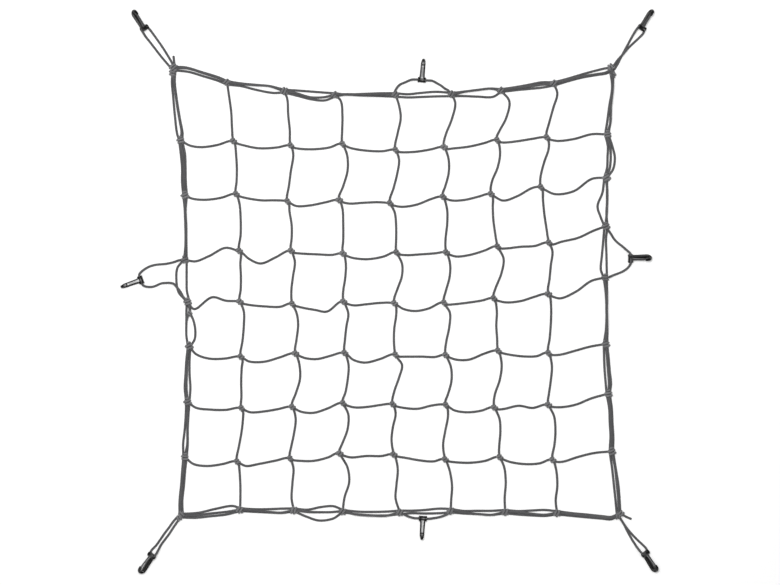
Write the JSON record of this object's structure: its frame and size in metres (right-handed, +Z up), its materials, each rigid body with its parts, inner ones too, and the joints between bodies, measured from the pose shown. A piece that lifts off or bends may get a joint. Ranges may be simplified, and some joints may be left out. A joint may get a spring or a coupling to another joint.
{
  "type": "elastic cargo net with snap hooks, for garage or trailer storage",
  "caption": "Square elastic storage net of dark grey cord, knotted at each crossing, with a three-strand rim and black snap hooks at the corners and sides, laid flat.",
  "frame": {"origin": "middle of the laid-out net's box, on the surface it lies on", "axes": "+Z up from the surface, +Y towards the top edge, +X towards the right edge"},
  "size_m": [0.9972, 1.0458, 0.0193],
  "materials": {
    "elastic_cord": "braided polyester sheath, matt",
    "hook_plastic": "moulded, semi-matt"
  },
  "bodies": {
    "root": {"row_cord_1": "elastic_cord", "row_cord_2": "elastic_cord", "row_cord_3": "elastic_cord", "row_cord_4": "elastic_cord", "row_cord_5": "elastic_cord", "row_cord_6": "elastic_cord", "row_cord_7": "elastic_cord", "column_cord_1": "elastic_cord", "column_cord_2": "elastic_cord", "column_cord_3": "elastic_cord", "column_cord_4": "elastic_cord", "column_cord_5": "elastic_cord", "column_cord_6": "elastic_cord", "column_cord_7": "elastic_cord", "rim_top_outer": "elastic_cord", "rim_top_inner": "elastic_cord", "rim_top_hook_cord": "elastic_cord", "rim_bottom_outer": "elastic_cord", "rim_bottom_inner": "elastic_cord", "rim_bottom_hook_cord": "elastic_cord", "rim_left_outer": "elastic_cord", "rim_left_inner": "elastic_cord", "rim_left_hook_cord": "elastic_cord", "rim_left_hook_cord_lower": "elastic_cord", "rim_right_outer": "elastic_cord", "rim_right_inner": "elastic_cord", "rim_right_hook_cord": "elastic_cord", "corner_top_left_loop": "elastic_cord", "corner_top_right_loop": "elastic_cord", "corner_bottom_left_loop": "elastic_cord", "corner_bottom_right_loop": "elastic_cord", "hook_top_left": "hook_plastic", "hook_top": "hook_plastic", "hook_top_right": "hook_plastic", "hook_left": "hook_plastic", "hook_right": "hook_plastic", "hook_bottom_left": "hook_plastic", "hook_bottom": "hook_plastic", "hook_bottom_right": "hook_plastic"}
  },
  "joints": []
}
